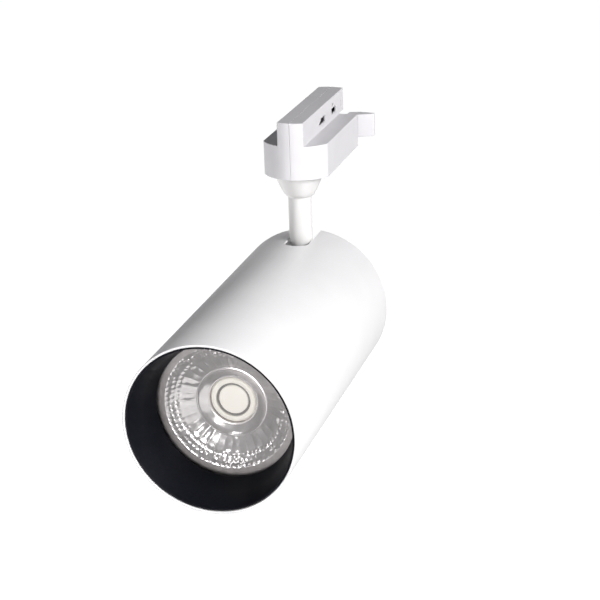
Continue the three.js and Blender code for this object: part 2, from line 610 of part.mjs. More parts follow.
piece('driver_board', box(-DRIVER_HALF + 2.4, DRIVER_HALF - 2.4, DRIVER_FRONT + 2.4, DRIVER_BACK - 2.4,
  BOARD_Z, BOARD_Z + 1.6), material(0x2f5d3a, 0.5), head);
const onBoard = BOARD_Z + 1.7;
piece('driver_transformer', box(-16, 2, DRIVER_FRONT + 7, DRIVER_FRONT + 25, onBoard, BOARD_Z + 17),
  redCover, head);
piece('driver_capacitor', bar('z', 5.5, onBoard, BOARD_Z + 20, { x: 13, y: DRIVER_FRONT + 15, sides: 32 }),
  greyPlastic, head);

const ledLeads = [['led_lead_plus', 1.6, redSheath], ['led_lead_minus', -1.6, blackPlastic]];
for (const [name, x, makeMaterial] of ledLeads) {
  const start = behindMouth(SINK_FRONT + 0.2);
  const bend = DRIVER_FRONT - 14;
  piece(name, wire([
    [x, start, LEAD_HEIGHT], [x, (start + bend) / 2, LEAD_HEIGHT],
    [x, bend, LEAD_HEIGHT], [x, DRIVER_FRONT - 8, LEAD_HEIGHT - 1.5],
    [x, DRIVER_FRONT - 3.6, LEAD_HEIGHT - 3.4], [x, DRIVER_FRONT - 0.5, LEAD_HEIGHT - 4],
  ], 0.95), makeMaterial, head);
}

// ---------- head: bulkhead with hinge cheeks, tilt bolt ----------
const BULKHEAD_FRONT = DRIVER_BACK + 0.3;
const BULKHEAD_BACK = BULKHEAD_FRONT + 2.4;
const CHEEK_INSIDE = KNUCKLE_HALF + 1.2;
const CHEEK_WALL = 2.5;
const CHEEK_RADIUS = 9;
const GROMMET_HEIGHT = 24;
const GROMMET_HOLE = 5;
const SPACER_CIRCLE = INNER_RADIUS - 10.7; // radius on which the two spacers stand
const SPACER_ANGLE = 0.656; // below the horizontal, in radians
const SPACER_X = SPACER_CIRCLE * Math.cos(SPACER_ANGLE);
const SPACER_Z = -SPACER_CIRCLE * Math.sin(SPACER_ANGLE);
const SPACERS = { left: -SPACER_X, right: SPACER_X };

function cheek(inside) {
  const shape = new THREE.Shape();
  shape.moveTo(BULKHEAD_BACK - 0.5, -CHEEK_RADIUS - 4);
  shape.lineTo(0, -CHEEK_RADIUS);
  shape.absarc(0, 0, CHEEK_RADIUS, -Math.PI / 2, Math.PI / 2, false);
  shape.lineTo(BULKHEAD_BACK - 0.5, CHEEK_RADIUS + 4);
  return prismX(shape, inside, inside + CHEEK_WALL);
}

function bulkheadPiece() {
  return cut(
    join(
      bar('y', INNER_RADIUS, BULKHEAD_FRONT, BULKHEAD_BACK, { sides: HIDDEN_ROUND }),
      ring('y', INNER_RADIUS, INNER_RADIUS - 1.6, BULKHEAD_BACK - 0.5, BULKHEAD_BACK + 9, HIDDEN_ROUND),
      cheek(CHEEK_INSIDE),
      cheek(-CHEEK_INSIDE - CHEEK_WALL),
    ),
    bar('x', BOLT_RADIUS + 0.15, -30, 30),
    bar('y', GROMMET_HOLE, BULKHEAD_FRONT - 1, BULKHEAD_BACK + 1, { z: GROMMET_HEIGHT }),
    box(-SLOT_HALF - 1.5, SLOT_HALF + 1.5, BULKHEAD_BACK, BULKHEAD_BACK + 20, INNER_RADIUS - 5, TUBE_RADIUS),
    ...Object.values(GRUB_ANGLES).map((angle) =>
      radialBar(GRUB_RADIUS + FIT, INNER_RADIUS - 4, TUBE_RADIUS, angle, GRUB_STATION)),
  );
}
piece('bulkhead', bulkheadPiece(), steel, head);

for (const [name, angle] of Object.entries(GRUB_ANGLES)) {
  const screw = radialBar(GRUB_RADIUS, INNER_RADIUS - 3.2, TUBE_RADIUS - FIT, angle, GRUB_STATION);
  piece(name, screw, steel, head);
}

const grommetNeck = GROMMET_HOLE - 0.2;
piece('grommet', turned('y', [
  [2.6, BULKHEAD_FRONT - 0.25], [grommetNeck, BULKHEAD_FRONT - 0.25], [grommetNeck, BULKHEAD_BACK + 0.15],
  [GROMMET_HOLE + 1.4, BULKHEAD_BACK + 0.15], [GROMMET_HOLE + 1.4, BULKHEAD_BACK + 1.3],
  [2.6, BULKHEAD_BACK + 1.3],
], SMALL_ROUND).translate([0, 0, GROMMET_HEIGHT]), greyRubber, head);

for (const [name, side] of [['tilt_washer_left', -1], ['tilt_washer_right', 1]]) {
  const from = KNUCKLE_HALF + 0.2;
  const washer = ring('x', 7.6, BOLT_RADIUS + 0.3, from, CHEEK_INSIDE - 0.2, SMALL_ROUND);
  piece(name, side < 0 ? washer.rotate([0, 0, 180]) : washer, greyPlastic, head);
}
const cheekOutside = CHEEK_INSIDE + CHEEK_WALL;
piece('tilt_bolt', cut(
  join(
    bar('x', 4.4, -cheekOutside - 3.4, -cheekOutside - 0.2),
    bar('x', BOLT_RADIUS, -cheekOutside - 1, cheekOutside + 5.4),
  ),
  bar('x', 2, -cheekOutside - 4, -cheekOutside - 1.6, { sides: 6 }),
), steel, head);
piece('tilt_nut', cut(
  bar('x', 4.7, cheekOutside + 0.2, cheekOutside + 4.2, { sides: 6 }),
  bar('x', BOLT_RADIUS + 0.15, 0, cheekOutside + 6),
), steel, head);

// ---------- head: rear cap on its spacers ----------
const CAP_BACK = PIVOT_TO_REAR - 2.4;
const CAP_FRONT = CAP_BACK - 2.4;
const SPACER_RADIUS = 3;
for (const [side, x] of Object.entries(SPACERS)) {
  const place = { x, z: SPACER_Z };
  piece(`spacer_${side}`, cut(
    bar('y', SPACER_RADIUS, BULKHEAD_BACK + 0.1, CAP_FRONT - 0.1, { ...place, sides: 6 }),
    bar('y', SCREW_RADIUS + 0.15, CAP_FRONT - 8, CAP_FRONT + 1, place),
  ), steel, head);
  piece(`cap_screw_${side}`, join(
    bar('y', SCREW_HEAD + 0.3, CAP_BACK + 0.1, CAP_BACK + 1.7, place),
    bar('y', SCREW_RADIUS, CAP_FRONT - 7, CAP_BACK + 0.5, place),
  ), steel, head);
}
const capSlotHalf = SLOT_HALF + 0.4;
piece('rear_cap', cut(
  bar('y', INNER_RADIUS, CAP_FRONT, CAP_BACK, { sides: ROUND }),
  box(-capSlotHalf, capSlotHalf, CAP_FRONT - 1, CAP_BACK + 1, 0, TUBE_RADIUS),
  bar('y', capSlotHalf, CAP_FRONT - 1, CAP_BACK + 1, { sides: 40 }),
  ...Object.values(SPACERS).map((x) =>
    bar('y', SCREW_RADIUS + FIT, CAP_FRONT - 1, CAP_BACK + 1, { x, z: SPACER_Z })),
), whitePaint, head);

export default part;
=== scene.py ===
import math
import random

import bmesh
import bpy
from mathutils import Matrix, Vector


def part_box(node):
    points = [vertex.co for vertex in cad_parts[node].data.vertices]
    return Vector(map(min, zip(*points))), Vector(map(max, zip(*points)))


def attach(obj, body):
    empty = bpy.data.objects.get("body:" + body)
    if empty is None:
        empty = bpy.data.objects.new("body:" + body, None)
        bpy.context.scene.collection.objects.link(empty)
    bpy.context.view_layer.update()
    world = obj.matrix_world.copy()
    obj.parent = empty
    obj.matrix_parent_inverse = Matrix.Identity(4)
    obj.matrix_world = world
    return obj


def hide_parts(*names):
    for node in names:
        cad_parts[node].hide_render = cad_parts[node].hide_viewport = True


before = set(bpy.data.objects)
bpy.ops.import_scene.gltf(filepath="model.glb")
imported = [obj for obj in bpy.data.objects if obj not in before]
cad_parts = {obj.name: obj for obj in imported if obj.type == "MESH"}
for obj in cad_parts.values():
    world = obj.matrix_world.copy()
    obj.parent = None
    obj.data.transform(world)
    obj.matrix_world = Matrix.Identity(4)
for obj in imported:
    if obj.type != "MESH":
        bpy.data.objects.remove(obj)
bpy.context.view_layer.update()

# ---- Adapter case ----
# Two half shells of white satin plastic, moulded with a fine grain, that close round the wiring.
# They meet on the middle plane, and four small screws go through from the left half.

MM = 0.001
SEAM_SHARE = 0.2
SEAM_HALF = 0.07 * MM
SEAM_REACH = 0.3 * MM
WELD = 2e-6
FLAT_TURN, EDGE_TURN = 0.6, 24


def softened(node, name, width, steps=3, seam=0.0):
    """A copy of a CAD node with whole faces in place of triangles, and its edges rounded by width.
    Faces closer to the middle plane than seam move in to a hairline joint with crisp corners."""
    shape = bmesh.new()
    shape.from_mesh(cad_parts[node].data)
    bmesh.ops.remove_doubles(shape, verts=shape.verts, dist=WELD)
    bmesh.ops.dissolve_limit(shape, angle_limit=math.radians(FLAT_TURN), verts=shape.verts, edges=shape.edges)
    for vert in shape.verts:
        if abs(vert.co.x) < seam:
            vert.co.x = math.copysign(SEAM_HALF, vert.co.x)
    share = shape.edges.layers.float.new("bevel_weight_edge")
    for edge in shape.edges:
        if len(edge.link_faces) == 2 and edge.calc_face_angle() > math.radians(EDGE_TURN):
            on_seam = all(abs(vert.co.x) < seam for vert in edge.verts)
            edge[share] = SEAM_SHARE if on_seam else 1.0
    mesh = bpy.data.meshes.new(name)
    shape.to_mesh(mesh)
    shape.free()
    mesh.shade_smooth()
    piece = bpy.data.objects.new(name, mesh)
    bpy.context.scene.collection.objects.link(piece)
    rounding = piece.modifiers.new("rounding", "BEVEL")
    rounding.width = width
    rounding.segments = steps
    rounding.limit_method = "WEIGHT"
    rounding.use_clamp_overlap = False
    flats = piece.modifiers.new("flats", "WEIGHTED_NORMAL")
    flats.weight = 100
    flats.keep_sharp = True
    return piece


def fit(piece, finish, slot, body, *nodes):
    """Gives a piece its finish, the body it moves with and the CAD nodes that it stands for."""
    piece.data.materials.clear()
    piece.data.materials.append(finish)
    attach(piece, body)
    if nodes:
        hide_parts(*nodes)


def moulded(name, light, dark, rough, grain=0.25 * MM, depth=4e-6, patch=14 * MM, metal=0.0):
    """A finish with faint patches of two shades, uneven gloss and a fine raised grain."""
    finish = bpy.data.materials.new(name)
    finish.use_nodes = True
    tree = finish.node_tree
    shader = tree.nodes["Principled BSDF"]
    shader.inputs["Metallic"].default_value = metal
    place = tree.nodes.new("ShaderNodeTexCoord")

    patches = tree.nodes.new("ShaderNodeTexNoise")
    patches.inputs["Scale"].default_value = 1 / patch
    patches.inputs["Detail"].default_value = 6
    shade = tree.nodes.new("ShaderNodeValToRGB")
    shade.color_ramp.elements[0].position = 0.35
    shade.color_ramp.elements[0].color = (*dark, 1)
    shade.color_ramp.elements[1].position = 0.65
    shade.color_ramp.elements[1].color = (*light, 1)
    tree.links.new(place.outputs["Object"], patches.inputs["Vector"])
    tree.links.new(patches.outputs["Fac"], shade.inputs["Fac"])
    tree.links.new(shade.outputs["Color"], shader.inputs["Base Color"])

    grains = tree.nodes.new("ShaderNodeTexNoise")
    grains.inputs["Scale"].default_value = 1 / grain
    grains.inputs["Detail"].default_value = 2
    gloss = tree.nodes.new("ShaderNodeMapRange")
    gloss.inputs["To Min"].default_value = rough[0]
    gloss.inputs["To Max"].default_value = rough[1]
    raised = tree.nodes.new("ShaderNodeBump")
    raised.inputs["Strength"].default_value = 1
    raised.inputs["Distance"].default_value = depth
    tree.links.new(place.outputs["Object"], grains.inputs["Vector"])
    tree.links.new(patches.outputs["Fac"], gloss.inputs["Value"])
    tree.links.new(gloss.outputs["Result"], shader.inputs["Roughness"])
    tree.links.new(grains.outputs["Fac"], raised.inputs["Height"])
    tree.links.new(raised.outputs["Normal"], shader.inputs["Normal"])
    return finish


white_plastic = moulded("white moulded plastic", (0.64, 0.627, 0.647), (0.615, 0.602, 0.622), (0.42, 0.52))
CASE_ROUNDING = 0.4 * MM
for side in ("left", "right"):
    half_shell = softened(f"shell_{side}", f"case_half_{side}", CASE_ROUNDING, seam=SEAM_REACH)
    fit(half_shell, white_plastic, "white_plastic", "adapter", f"shell_{side}")

# ---- Shell screws ----
# Zinc-plated steel screws with cross recesses, sunk in round pockets in the left half shell.
# Each one is turned, with a slightly crowned head.

SCREW_SIDES = 40
SHARP_TURN = 32
AXIS_WELD = 1e-7


def crisp(mesh, turn=SHARP_TURN):
    """Shades a mesh smooth, but for the edges where it turns by more than so many degrees."""
    mesh.shade_smooth()
    mesh.set_sharp_from_angle(angle=math.radians(turn))


def turned(name, axis, profile, sides=96, at=(0, 0, 0), sharp=SHARP_TURN):
    """A piece turned about an axis through at; profile is a closed loop of (radius, station) in mm."""
    shape = bmesh.new()
    rows = []
    for radius, station in profile:
        row = []
        for step in range(sides):
            turn = 2 * math.pi * step / sides
            across, up, along = radius * math.cos(turn), radius * math.sin(turn), station
            point = {"x": (along, across, up), "y": (across, along, up), "z": (across, up, along)}[axis]
            row.append(shape.verts.new(Vector(point) * MM + Vector(at)))
        rows.append(row)
    for first, second in zip(rows, rows[1:] + rows[:1]):
        for step in range(sides):
            after = (step + 1) % sides
            shape.faces.new((first[step], first[after], second[after], second[step]))
    bmesh.ops.remove_doubles(shape, verts=shape.verts, dist=AXIS_WELD)
    bmesh.ops.recalc_face_normals(shape, faces=shape.faces)
    mesh = bpy.data.meshes.new(name)
    shape.to_mesh(mesh)
    shape.free()
    crisp(mesh, sharp)
    piece = bpy.data.objects.new(name, mesh)
    bpy.context.scene.collection.objects.link(piece)
    return piece


def block(name, low, high):
    """A plain cutter between two corners, in mm."""
    shape = bmesh.new()
    bmesh.ops.create_cube(shape, size=1)
    low, high = Vector(low) * MM, Vector(high) * MM
    for vert in shape.verts:
        vert.co = Vector(high[i] if vert.co[i] > 0 else low[i] for i in range(3))
    mesh = bpy.data.meshes.new(name)
    shape.to_mesh(mesh)
    shape.free()
    cutter = bpy.data.objects.new(name, mesh)
    bpy.context.scene.collection.objects.link(cutter)
    return cutter


def cut_away(piece, *cutters):
    """Takes the cutters out of a piece for good and removes them."""
    for cutter in cutters:
        hollow = piece.modifiers.new("cut", "BOOLEAN")
        hollow.object = cutter
        hollow.operation = "DIFFERENCE"
        hollow.solver = "EXACT"
    bpy.context.view_layer.update()
    shown = piece.evaluated_get(bpy.context.evaluated_depsgraph_get())
    mesh = bpy.data.meshes.new_from_object(shown)
    piece.modifiers.clear()
    piece.data = mesh
    for cutter in cutters:
        bpy.data.objects.remove(cutter)


plated_steel = moulded(
    "zinc-plated steel", (0.62, 0.62, 0.63), (0.5, 0.5, 0.51), (0.24, 0.4),
    grain=0.12 * MM, depth=1.5e-6, patch=2 * MM, metal=1.0,
)


def cross_screw(name, axis, face, back, middle, head, shank, depth, inward=1):
    """A screw along an axis: face and back are its ends in mm, middle the two other coordinates in m.
    Its shank runs inward from the face: 1 is towards higher coordinates, -1 towards lower ones."""
    at = {"x": (0, *middle), "y": (middle[0], 0, middle[1])}[axis]
    crown, edge, point = 0.12, 0.35, 0.3
    screw = turned(name, axis, [
        (0, face), (head * 0.6, face + inward * crown * 0.3), (head * 0.92, face + inward * crown),
        (head, face + inward * edge), (head, face + inward * depth), (shank, face + inward * depth),
        (shank, back - inward * point), (shank * 0.7, back), (0, back),
    ], sides=SCREW_SIDES, at=at)
    reach, half_width, deep, clear = head * 0.62, 0.26, 0.7, 0.5
    for long, short in ((reach, half_width), (half_width, reach)):
        near, far = sorted((face - inward * clear, face + inward * deep))
        first, second = (station / MM for station in middle)
        if axis == "x":
            low, high = (near, first - long, second - short), (far, first + long, second + short)
        else:
            low, high = (first - long, near, second - short), (first + long, far, second + short)
        cut_away(screw, block("recess", low, high))
    crisp(screw.data)
    return screw


for node in ("shell_screw_near", "shell_screw_middle", "shell_screw_far", "shell_screw_block"):
    low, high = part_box(node)
    screw = cross_screw(
        node.replace("shell_screw", "case_screw"), "x", low.x / MM, high.x / MM,
        ((low.y + high.y) / 2, (low.z + high.z) / 2), head=2.2, shank=1.2, depth=1.0,
    )
    fit(screw, plated_steel, "steel", "adapter", node)

# ---- Terminal block and pan bush ----
# A cream terminal block sits over the stem's bore, and a grey acetal bush lines the hole in the floor.
# Both are moulded and held by the two shells.


def finish_node(node, finish):
    """Gives a CAD node that stays in view its finish."""
    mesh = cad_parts[node].data
    mesh.materials.clear()
    mesh.materials.append(finish)


cream_plastic = moulded("cream moulded plastic", (0.95, 0.91, 0.85), (0.91, 0.87, 0.8), (0.4, 0.5))
grey_acetal = moulded("grey acetal", (0.2, 0.2, 0.21), (0.15, 0.15, 0.16), (0.32, 0.45), patch=6 * MM)
SMALL_ROUNDING = 0.2 * MM
wire_terminals = softened("terminal_block", "wire_terminals", SMALL_ROUNDING)
fit(wire_terminals, cream_plastic, "cream_plastic", "adapter", "terminal_block")
finish_node("pan_bush", grey_acetal)

# ---- Lock lever and claw ----
# The lever is a white moulding with a finger tab; a quarter turn brings the steel claw on its shaft
# out into the track's grooves. The claw is stamped and pressed on; its near-black is painted shade.

finger_lever = softened("lock_lever", "finger_lever", CASE_ROUNDING)
fit(finger_lever, white_plastic, "white_plastic", "lever", "lock_lever")
# Near-black steel: painted shade, standing in for the dark inside of the case's windows.
shade_darkened_steel = moulded(
    "steel darkened as painted shade", (0.07, 0.07, 0.075), (0.04, 0.04, 0.045), (0.35, 0.5),
    grain=0.15 * MM, depth=2e-6, patch=2 * MM, metal=0.6,
)
turning_claw = softened("locking_claw", "turning_claw", SMALL_ROUNDING, steps=2)
fit(turning_claw, shade_darkened_steel, "steel", "lever", "locking_claw")

# ---- Link and contact rotor ----
# A grey link joins the lever's crank to the contact rotor's, so the two copper blades turn out with
# the claw. The blades are stamped from sheet and stand on the rotor's hub; their dark copper is painted
# shade.

# Dark copper: painted shade, standing in for the dark inside of the case's windows.
shade_darkened_copper = moulded(
    "copper darkened as painted shade", (0.3, 0.15, 0.09), (0.2, 0.1, 0.06), (0.25, 0.42),
    grain=0.15 * MM, depth=1.5e-6, patch=3 * MM, metal=1.0,
)
crank_link = softened("link_bar", "crank_link", SMALL_ROUNDING, steps=2)
fit(crank_link, grey_acetal, "grey_plastic", "link", "link_bar")
blade_carrier = softened("contact_rotor", "blade_carrier", SMALL_ROUNDING, steps=2)
fit(blade_carrier, grey_acetal, "grey_plastic", "contacts", "contact_rotor")
FINE_ROUNDING = 0.15 * MM
for pole in ("live", "neutral"):
    blade = softened(f"contact_{pole}", f"blade_{pole}", FINE_ROUNDING, steps=2)
    fit(blade, shade_darkened_copper, "copper", "contacts", f"contact_{pole}")

# ---- Swivel: collar, stem, washer and nut ----
# A funnel-shaped aluminium collar hides the joint under the block. The stem is an aluminium tube with
# a flattened knuckle at its foot, and hangs on a steel nut and washer. Collar and stem have a satin
# white coat.

STEM_RADIUS = 6.6
COLLAR_TOP, COLLAR_BOTTOM = -19.4, -32.0
COLLAR_RADIUS = 13.3
COLLAR_GAP, COLLAR_EDGE = 0.15, 0.3
collar_outline = [
    (STEM_RADIUS + COLLAR_GAP, COLLAR_BOTTOM + COLLAR_GAP), (STEM_RADIUS + COLLAR_EDGE, COLLAR_BOTTOM),
    (7.3, -31.85), (7.85, -31.5), (8.45, -30.9), (9.0, -30.1), (9.45, -29.3), (9.9, -28.4), (10.4, -27.3),
    (10.95, -26.1), (11.5, -24.9), (12.0, -23.7), (12.45, -22.6), (12.85, -21.5), (13.1, -20.7),
    (COLLAR_RADIUS, COLLAR_TOP - COLLAR_EDGE), (COLLAR_RADIUS - 0.08, COLLAR_TOP - 0.08),
    (COLLAR_RADIUS - COLLAR_EDGE, COLLAR_TOP), (STEM_RADIUS + COLLAR_GAP, COLLAR_TOP),
]
collar = turned("funnel_collar", "z", collar_outline, sides=128)
satin_coat = moulded(
    "satin white coat", (0.69, 0.682, 0.675), (0.67, 0.662, 0.655), (0.36, 0.46),
    grain=0.7 * MM, depth=5e-6, patch=12 * MM,
)
fit(collar, satin_coat, "white_paint", "stem", "swivel_collar")
STEM_ROUNDING = 0.3 * MM
fit(softened("stem", "hollow_stem", STEM_ROUNDING), satin_coat, "white_paint", "stem", "stem")
for node in ("pan_nut", "pan_washer"):
    swivel_ring = softened(node, node.replace("pan_", "swivel_"), SMALL_ROUNDING, steps=2)
    fit(swivel_ring, plated_steel, "steel", "stem", node)

# ---- Supply leads ----
# Two flexible copper leads run up the stem to the terminals, one in a smooth soft brown sheath and
# one in a blue sheath.

brown_sheath = moulded("brown sheath", (0.2, 0.09, 0.045), (0.15, 0.065, 0.03), (0.35, 0.5), patch=5 * MM)
blue_sheath = moulded("blue sheath", (0.05, 0.13, 0.4), (0.035, 0.09, 0.32), (0.35, 0.5), patch=5 * MM)
finish_node("lead_live", brown_sheath)
finish_node("lead_neutral", blue_sheath)

# ---- Head tube ----
# A length of drawn aluminium tube, powder coated white, which leaves a slight orange peel. A slot
# milled in its rear lets the stem in and gives it room to tilt, and grub screws in two holes below
# hold the bulkhead.

TILT_AXIS = Vector((0, 0, -0.102))
TUBE_RADIUS, TUBE_WALL = 45.0, 1.2
MOUTH, REAR = -168.3, 16.7
SLOT_HALF, SLOT_END, SLOT_STEPS = 7.0, -8.5, 32
RIM = 0.3
OVERREACH = 2


def rounded_corner(radius, station, size, inward, along, steps=3):
    """Points round a corner of a turned profile, from its cylinder face to its end face."""
    points = []
    for step in range(steps + 1):
        turn = step / steps * math.pi / 2
        points.append((
            radius + inward * size * (1 - math.cos(turn)), station + along * size * (1 - math.sin(turn)),
        ))
    return points


bore = TUBE_RADIUS - TUBE_WALL
tube_outline = (
    rounded_corner(TUBE_RADIUS, REAR, RIM, -1, -1)
    + rounded_corner(bore, REAR, RIM, 1, -1)[::-1]
    + rounded_corner(bore, MOUTH, RIM, 1, 1)
    + rounded_corner(TUBE_RADIUS, MOUTH, RIM, -1, 1)[::-1]
)
tube = turned("head_tube", "y", tube_outline, sides=240, at=TILT_AXIS)
slot_shape = bmesh.new()
slot_plan = [(SLOT_HALF, REAR + OVERREACH), (SLOT_HALF, SLOT_END)]
slot_plan += [
    (SLOT_HALF * math.cos(turn), SLOT_END + SLOT_HALF * math.sin(turn))
    for turn in (-math.pi * step / SLOT_STEPS for step in range(1, SLOT_STEPS))
]
slot_plan += [(-SLOT_HALF, SLOT_END), (-SLOT_HALF, REAR + OVERREACH)]
bottom = [slot_shape.verts.new(Vector((x, y, 0)) * MM + TILT_AXIS) for x, y in slot_plan]
slot_face = slot_shape.faces.new(bottom)
raised = bmesh.ops.extrude_face_region(slot_shape, geom=[slot_face])
for item in raised["geom"]:
    if isinstance(item, bmesh.types.BMVert):
        item.co.z += (TUBE_RADIUS + OVERREACH) * MM
bmesh.ops.recalc_face_normals(slot_shape, faces=slot_shape.faces)
slot_mesh = bpy.data.meshes.new("slot")
slot_shape.to_mesh(slot_mesh)
slot_shape.free()
slot_cutter = bpy.data.objects.new("slot", slot_mesh)
bpy.context.scene.collection.objects.link(slot_cutter)

GRUB_STATION, GRUB_HOLE = -14.5, 2.1
HOLE_START, HOLE_END = TUBE_RADIUS - 7, TUBE_RADIUS + 3
GRUB_TURNS = (math.radians(205), math.radians(155))
grub_holes = []
for turn in GRUB_TURNS:
    hole = turned("hole", "z", [
        (0, HOLE_START), (GRUB_HOLE, HOLE_START), (GRUB_HOLE, HOLE_END), (0, HOLE_END),
    ], sides=32)
    station = Matrix.Translation(TILT_AXIS + Vector((0, GRUB_STATION * MM, 0)))
    hole.data.transform(station @ Matrix.Rotation(turn, 4, "Y"))
    grub_holes.append(hole)
cut_away(tube, slot_cutter, *grub_holes)
crisp(tube.data, 30)
white_coat = moulded(
    "white powder coat", (0.82, 0.812, 0.818), (0.8, 0.79, 0.797), (0.36, 0.46),
    grain=0.9 * MM, depth=7e-6, patch=25 * MM,
)
fit(tube, white_coat, "white_paint", "head", "housing_tube")

# ---- Black baffle ----
# A cone of black plastic pushed into the mouth against glare, moulded with a fine satin texture and
# with a thin rounded lip at the front.

BAFFLE_DEPTH, BAFFLE_EXIT = 26.2, 36.7
INNER = bore - 0.3
black_satin = moulded(
    "black satin texture", (0.006, 0.0065, 0.01), (0.0035, 0.004, 0.006), (0.36, 0.52),
    grain=0.5 * MM, depth=16e-6, patch=1.2 * MM,
)
black_satin.node_tree.nodes["Principled BSDF"].inputs["Specular IOR Level"].default_value = 0.1
baffle = turned("glare_cone", "y", [
    (INNER, MOUTH + 0.75), (INNER - 0.2, MOUTH + 0.55), (INNER - 0.5, MOUTH + 0.5),
    (INNER - 0.8, MOUTH + 0.6), (INNER - 0.95, MOUTH + 0.9), (INNER - 1.0, MOUTH + 1.5),
    (INNER - 1.15, MOUTH + 1.8), (INNER - 3.9, MOUTH + 13.5),
    (BAFFLE_EXIT + 0.15, MOUTH + BAFFLE_DEPTH - 0.9), (BAFFLE_EXIT, MOUTH + BAFFLE_DEPTH - 0.6),
    (BAFFLE_EXIT, MOUTH + BAFFLE_DEPTH), (INNER, MOUTH + BAFFLE_DEPTH),
], sides=200, at=TILT_AXIS, sharp=50)
fit(baffle, black_satin, "black_plastic", "head", "baffle")

# ---- Cover glass ----
# A disc of clear tempered glass with ground edges. It lies behind the baffle, held between it and
# the reflector's flange.

clear_glass = bpy.data.materials.new("clear glass")
clear_glass.use_nodes = True
glass_tree = clear_glass.node_tree
glass_tree.nodes.remove(glass_tree.nodes["Principled BSDF"])
see_through = glass_tree.nodes.new("ShaderNodeBsdfTransparent")
see_through.inputs["Color"].default_value = (0.99, 0.99, 0.988, 1)
surface_gloss = glass_tree.nodes.new("ShaderNodeBsdfGlossy")
surface_gloss.inputs["Roughness"].default_value = 0.02
edge_gloss = glass_tree.nodes.new("ShaderNodeFresnel")
edge_gloss.inputs["IOR"].default_value = 1.3
glass_mix = glass_tree.nodes.new("ShaderNodeMixShader")
glass_tree.links.new(edge_gloss.outputs["Fac"], glass_mix.inputs["Fac"])
glass_tree.links.new(see_through.outputs["BSDF"], glass_mix.inputs[1])
glass_tree.links.new(surface_gloss.outputs["BSDF"], glass_mix.inputs[2])
glass_tree.links.new(glass_mix.outputs["Shader"], glass_tree.nodes["Material Output"].inputs["Surface"])
GLASS_GAP, GLASS_CHAMFER = 0.3, 0.3
GLASS_FRONT = MOUTH + BAFFLE_DEPTH + GLASS_GAP
GLASS_BACK = GLASS_FRONT + 2.0
GLASS_RADIUS = INNER - 0.3
cover = turned("cover_disc", "y", [
    (0, GLASS_FRONT), (GLASS_RADIUS - GLASS_CHAMFER, GLASS_FRONT),
    (GLASS_RADIUS, GLASS_FRONT + GLASS_CHAMFER), (GLASS_RADIUS, GLASS_BACK - GLASS_CHAMFER),
    (GLASS_RADIUS - GLASS_CHAMFER, GLASS_BACK), (0, GLASS_BACK),
], sides=160, at=TILT_AXIS)
fit(cover, clear_glass, "clear_cover", "head", "cover_glass")

# ---- Reflector ----
# A moulded bowl coated with bright aluminium inside a plain satin flange. Rows of small pillows near
# its rim and long flutes below them break up the beam. A bead, a smooth cone and a short neck lead
# down to the LED.

REFLECTOR_FRONT = GLASS_BACK + GLASS_GAP
FLUTES = 36
PILLOWS = 2 * FLUTES
ACROSS = 12
RIM_RADIUS, FOOT_RADIUS, NECK_RADIUS = 33.3, 13.4, 12.4
FOOT_DEPTH = 9.6
BOWL = [(RIM_RADIUS, 0.0), (30.0, 2.2), (24.0, 5.1), (18.0, 7.6), (FOOT_RADIUS, FOOT_DEPTH)]
PILLOW_START, FLUTE_START = 26.7, 18.9
PILLOW_ROWS, RINGS_A_ROW = 3, 5
FLUTE_RISE, FLUTE_FALL = 2.0, 0.8


def bowl_depth(radius):
    """How far the bowl's plain face lies behind its rim at a radius."""
    for (outer, shallow), (inner, deep) in zip(BOWL, BOWL[1:]):
        if radius >= inner:
            return shallow + (deep - shallow) * (outer - radius) / (outer - inner)
    return BOWL[-1][1]


uneven = random.Random(7)
pillow_lift = [[uneven.uniform(0.1, 0.5) for _ in range(PILLOWS)] for _ in range(PILLOW_ROWS)]
pillow_lean = [[uneven.uniform(-0.9, 0.9) for _ in range(2 * PILLOWS)] for _ in range(PILLOW_ROWS)]
flute_lift = [uneven.uniform(0.05, 0.4) for _ in range(FLUTES)]


def bowl_lift(radius, position):
    """How far the bowl's face stands out at a radius; position counts flutes round the bowl."""
    if radius > PILLOW_START:
        along = (radius - PILLOW_START) / (RIM_RADIUS - PILLOW_START) * PILLOW_ROWS
        row = min(int(along), PILLOW_ROWS - 1)
        place = 2 * position + 0.5 * (row % 2)
        u = 2 * (place % 1) - 1
        v = 2 * (along - row) - 1
        pillow = int(place) % PILLOWS
        lean = pillow_lean[row][pillow] * u + pillow_lean[row][PILLOWS + pillow] * v
        return pillow_lift[row][pillow] * (1 - u * u) * (1 - v * v) * (1 + lean)
    if radius > FLUTE_START:
        u = 2 * (position % 1) - 1
        rise = min(1.0, (radius - FLUTE_START) / FLUTE_RISE, (PILLOW_START - radius) / FLUTE_FALL)
        return flute_lift[int(position) % FLUTES] * (1 - u * u) * rise
    return 0.0


rings = PILLOW_ROWS * RINGS_A_ROW
radii = [RIM_RADIUS - (RIM_RADIUS - PILLOW_START) * ring / rings for ring in range(rings + 1)]
radii += [PILLOW_START - FLUTE_FALL, 24.5, 23.3, 22.1, 20.9, 19.9, 19.3, FLUTE_START]
bead = [(18.7, 0.16), (18.45, 0.3), (18.1, 0.3), (17.8, 0.1), (17.5, 0.0)]
front = [(radius, bowl_depth(radius), True) for radius in radii]
front += [(radius, bowl_depth(radius) - lift, False) for radius, lift in bead]
front += [
    (radius, depth, False) for radius, depth in (
        (15.5, bowl_depth(15.5)), (FOOT_RADIUS, FOOT_DEPTH), (FOOT_RADIUS - 0.25, 9.45),
        (FOOT_RADIUS - 0.6, 9.5), (FOOT_RADIUS - 0.85, 9.9), (NECK_RADIUS, 10.4),
    )
]
back = [(NECK_RADIUS, 11.6), (13.6, 11.6), (14.3, 11.0), (18.9, 9.0), (24.9, 6.5), (30.9, 3.6), (34.0, 1.4),
        (INNER - 0.6, 1.4), (INNER - 0.6, 0.1), (INNER - 0.7, 0.0), (RIM_RADIUS + 0.2, 0.0)]
bowl_shape = bmesh.new()
rows = []
sides = FLUTES * ACROSS
